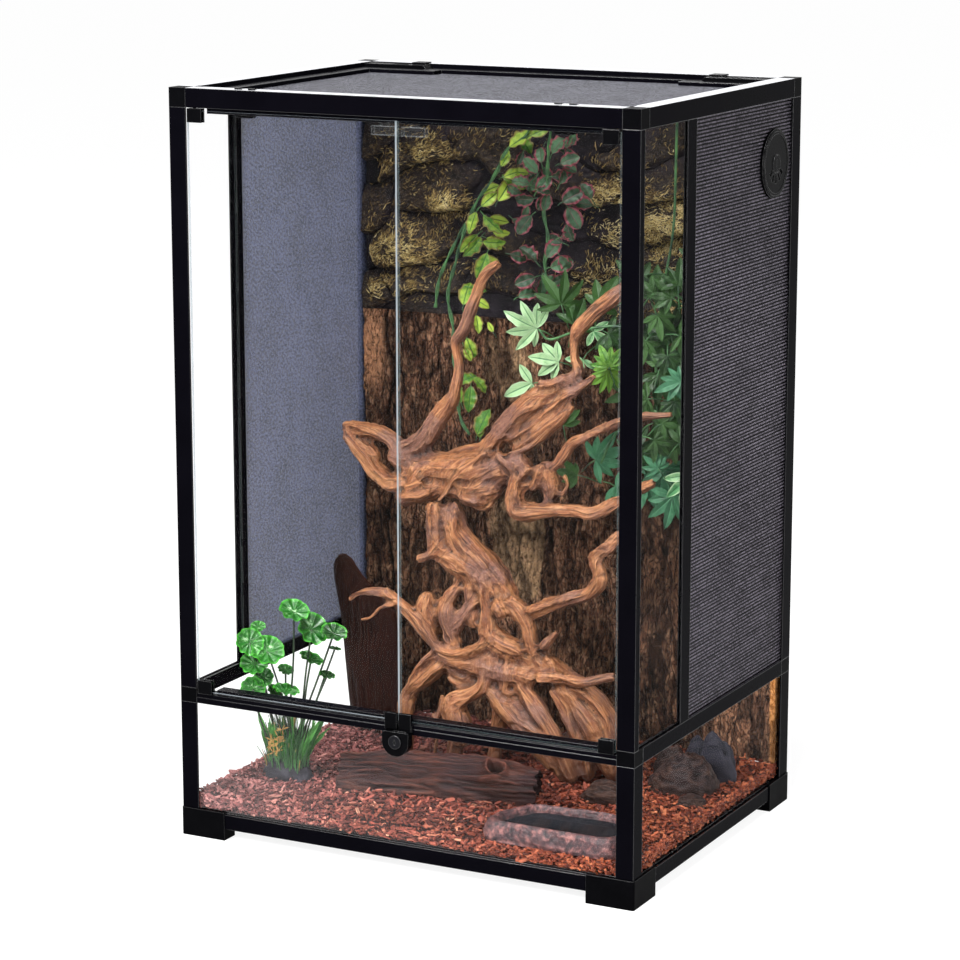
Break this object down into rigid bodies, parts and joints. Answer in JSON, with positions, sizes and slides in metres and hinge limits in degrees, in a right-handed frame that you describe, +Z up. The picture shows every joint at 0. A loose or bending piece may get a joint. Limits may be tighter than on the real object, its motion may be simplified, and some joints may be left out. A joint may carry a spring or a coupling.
{
  "type": "terrarium",
  "caption": "Tall glass terrarium with a black frame, two lockable swing doors, mesh sides and lift-off mesh lid, furnished with bark walls, driftwood, plants and a dish.",
  "frame": {"origin": "on the ground, under the middle of the whole outline, which includes the lock in front", "axes": "+Z up, the doors face -Y, +X to the right of someone facing the doors"},
  "size_m": [0.6, 0.476, 0.9018],
  "materials": {
    "black_plastic": "satin black powder coat",
    "foot_plastic": "satin black moulded plastic",
    "hinge_plastic": "glossy black moulded plastic",
    "inlet_plastic": "satin black moulded plastic",
    "port_plastic": "satin black moulded plastic",
    "lock_plastic": "satin black moulded plastic",
    "lock_metal": "black plated metal",
    "clear_glass": "clear float glass",
    "door_glass": "clear float glass with ground edges",
    "clear_plastic": "clear moulded plastic",
    "mesh_wire": "fine dark grey woven wire mesh",
    "bark_chips": "red-brown bark chips",
    "rock_panel": "moulded rock relief, dark brown with ochre",
    "bark_panel": "natural bark with deep fissures",
    "driftwood": "smooth orange-brown driftwood",
    "dark_bark": "dark reddish-brown bark slab",
    "log_bark": "weathered grey-brown log",
    "dish_resin": "purple-grey rock-like resin",
    "stone": "rough grey-brown stone",
    "vine_leaves": "yellow-green plastic leaves",
    "red_leaves": "teal-green leaves with pink edges",
    "star_leaves": "green pointed leaves",
    "pennywort_leaves": "bright green round leaves"
  },
  "bodies": {
    "root": {"foot_front_left": "foot_plastic", "foot_front_right": "foot_plastic", "foot_rear_left": "foot_plastic", "foot_rear_right": "foot_plastic", "bottom_rail_front": "black_plastic", "bottom_rail_rear": "black_plastic", "bottom_rails_side": "black_plastic", "floor_glass": "clear_glass", "lower_posts": "black_plastic", "mid_corners": "foot_plastic", "mid_rail_front": "black_plastic", "mid_rails_side": "black_plastic", "upper_posts_front": "black_plastic", "upper_posts_rear": "black_plastic", "top_corners": "foot_plastic", "top_rail_front": "black_plastic", "top_rail_rear": "black_plastic", "top_rails_side": "black_plastic", "lower_glass_front": "clear_glass", "lower_glass_sides": "clear_glass", "rear_glass": "clear_glass", "side_glass": "clear_glass", "mullions": "black_plastic", "mesh_left": "mesh_wire", "mesh_right": "mesh_wire", "door_stops": "clear_plastic", "lock_body": "lock_plastic", "cable_housings": "inlet_plastic", "port_ring": "port_plastic", "substrate": "bark_chips", "rock_background": "rock_panel", "bark_background": "bark_panel", "driftwood_upper": "driftwood", "driftwood_lower": "driftwood", "bark_slab": "dark_bark", "floor_log": "log_bark", "water_dish": "dish_resin", "stones": "stone", "vine_green": "vine_leaves", "vine_red": "red_leaves", "leaf_cluster": "star_leaves", "pennywort": "pennywort_leaves"},
    "left_door": {"door_glass_left": "door_glass", "hinge_clips_left": "hinge_plastic", "catch_plate_left": "hinge_plastic"},
    "right_door": {"door_glass_right": "door_glass", "hinge_clips_right": "hinge_plastic", "catch_plate_right": "hinge_plastic"},
    "lock_barrel": {"lock_barrel": "lock_metal"},
    "lid": {"lid_frame": "black_plastic", "lid_mesh": "mesh_wire"},
    "left_lid_latch": {"lid_latch_left": "hinge_plastic"},
    "right_lid_latch": {"lid_latch_right": "hinge_plastic"},
    "left_cable_slide": {"cable_slide_left": "inlet_plastic"},
    "right_cable_slide": {"cable_slide_right": "inlet_plastic"},
    "port_shutter": {"port_shutter": "port_plastic"}
  },
  "joints": [
    {"name": "left_door_hinge", "type": "hinge", "parent": "root", "child": "left_door", "pos_m": [-0.2663, -0.2215, 0.528], "axis": [0, 0, -1], "range_deg": [0, 110]},
    {"name": "right_door_hinge", "type": "hinge", "parent": "root", "child": "right_door", "pos_m": [0.2663, -0.2215, 0.528], "axis": [0, 0, 1], "range_deg": [0, 110]},
    {"name": "lock_turn", "type": "hinge", "parent": "root", "child": "lock_barrel", "pos_m": [0, -0.2335, 0.1592], "axis": [0, -1, 0], "range_deg": [0, 90]},
    {"name": "lid_lift", "type": "slide", "parent": "root", "child": "lid", "axis": [0, 0, 1], "range_m": [0, 0.08]},
    {"name": "left_lid_latch_slide", "type": "slide", "parent": "root", "child": "left_lid_latch", "axis": [0, 1, 0], "range_m": [0, 0.006]},
    {"name": "right_lid_latch_slide", "type": "slide", "parent": "root", "child": "right_lid_latch", "axis": [0, 1, 0], "range_m": [0, 0.006]},
    {"name": "left_cable_slide_travel", "type": "slide", "parent": "root", "child": "left_cable_slide", "axis": [-1, 0, 0], "range_m": [0, 0.022]},
    {"name": "right_cable_slide_travel", "type": "slide", "parent": "root", "child": "right_cable_slide", "axis": [1, 0, 0], "range_m": [0, 0.022]},
    {"name": "port_shutter_turn", "type": "hinge", "parent": "root", "child": "port_shutter", "pos_m": [0.296, 0.1605, 0.804], "axis": [1, 0, 0], "range_deg": [0, 14]}
  ]
}
